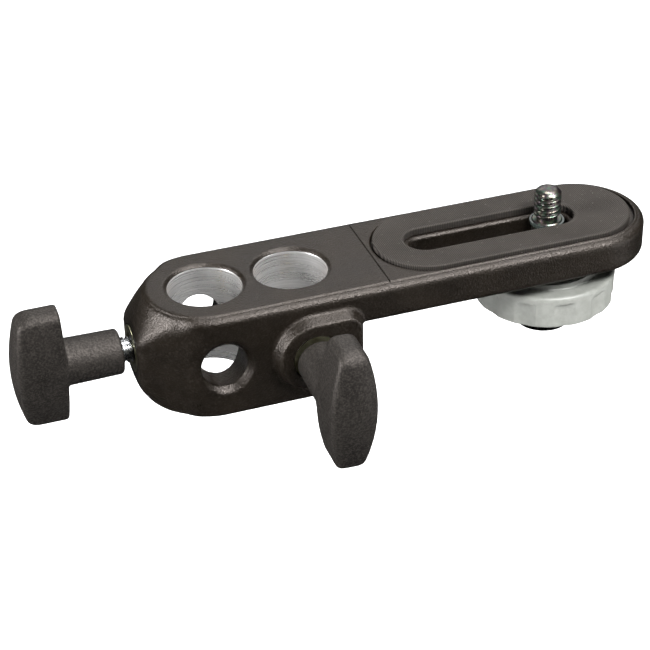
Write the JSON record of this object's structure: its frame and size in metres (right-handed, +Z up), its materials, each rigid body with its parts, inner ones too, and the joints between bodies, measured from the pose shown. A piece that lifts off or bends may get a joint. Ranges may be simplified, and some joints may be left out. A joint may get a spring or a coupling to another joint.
{
  "type": "umbrella swivel bracket",
  "caption": "Cast bracket with two spigot sockets, an umbrella shaft hole, wing-knob clamps, and a slotted padded arm with a sliding camera screw and lock wheel.",
  "frame": {"origin": "where the stand socket's axis meets the axes of the umbrella hole and the end clamp, at half the block's height", "axes": "+X along the arm towards the camera screw, +Z up out of the sockets and the camera pad, -Y out of the side clamp's boss"},
  "size_m": [0.1495, 0.0599, 0.0355],
  "materials": {
    "coated_aluminium": "die-cast aluminium, black powder coat with a fine grain; bores left bare and turned",
    "pad_rubber": "black rubber with fine cross ribs",
    "adhesive_tape": "thin double-sided tape",
    "yellow_zinc": "steel with an olive-yellow passivated zinc plating",
    "brass": "turned brass",
    "zinc_steel": "blue-white zinc plating",
    "knob_nylon": "black glass-filled nylon with a pebbled grain",
    "clear_nylon": "translucent natural nylon",
    "black_steel": "blackened steel, straight knurl",
    "grey_plastic": "pale grey moulded plastic, satin"
  },
  "bodies": {
    "bracket": {"bracket_body": "coated_aluminium", "camera_pad": "pad_rubber", "pad_adhesive": "adhesive_tape", "end_clamp_bush": "yellow_zinc", "side_clamp_bush": "yellow_zinc"},
    "end_tip": {"end_pressure_tip": "brass"},
    "end_clamp": {"end_knob": "knob_nylon", "end_clamp_stud": "zinc_steel", "end_knob_insert": "brass"},
    "side_tip": {"side_pressure_tip": "brass"},
    "side_clamp": {"side_knob": "knob_nylon", "side_clamp_stud": "zinc_steel", "side_knob_insert": "brass"},
    "camera_carriage": {"retaining_washer": "clear_nylon", "friction_washer": "grey_plastic"},
    "camera_screw": {"camera_screw": "zinc_steel", "screw_head": "black_steel", "head_pin": "zinc_steel"},
    "wheel_feed": {"thrust_washer": "grey_plastic"},
    "lock_wheel": {"lock_wheel": "grey_plastic", "wheel_insert": "brass"}
  },
  "joints": [
    {"name": "end_clamp_feed", "type": "slide", "parent": "bracket", "child": "end_tip", "axis": [1, 0, 0], "range_m": [-0.00175, 0.00225]},
    {"name": "end_clamp_turn", "type": "hinge", "parent": "end_tip", "child": "end_clamp", "pos_m": [-0.0175, 0, 0], "axis": [1, 0, 0], "range_deg": [-630, 810]},
    {"name": "side_clamp_feed", "type": "slide", "parent": "bracket", "child": "side_tip", "axis": [0, 1, 0], "range_m": [-0.00275, 0.0007]},
    {"name": "side_clamp_turn", "type": "hinge", "parent": "side_tip", "child": "side_clamp", "pos_m": [0.0198, -0.0183, 0], "axis": [0, 1, 0], "range_deg": [-990, 252]},
    {"name": "camera_slide", "type": "slide", "parent": "bracket", "child": "camera_carriage", "axis": [1, 0, 0], "range_m": [-0.03, 0.0011]},
    {"name": "camera_screw_turn", "type": "hinge", "parent": "camera_carriage", "child": "camera_screw", "pos_m": [0.0821, 0, 0], "axis": [0, 0, 1], "continuous": true},
    {"name": "lock_wheel_feed", "type": "slide", "parent": "camera_carriage", "child": "wheel_feed", "axis": [0, 0, 1], "range_m": [-0.00104, 0]},
    {"name": "lock_wheel_turn", "type": "hinge", "parent": "wheel_feed", "child": "lock_wheel", "pos_m": [0.0821, 0, 0], "axis": [0, 0, 1], "range_deg": [-300, 0]}
  ],
  "couplings": [
    {"joint": "end_clamp_feed", "follows": "end_clamp_turn", "m_per_rad": 0.00015915},
    {"joint": "side_clamp_feed", "follows": "side_clamp_turn", "m_per_rad": 0.00015915},
    {"joint": "lock_wheel_feed", "follows": "lock_wheel_turn", "m_per_rad": 0.00019894}
  ]
}
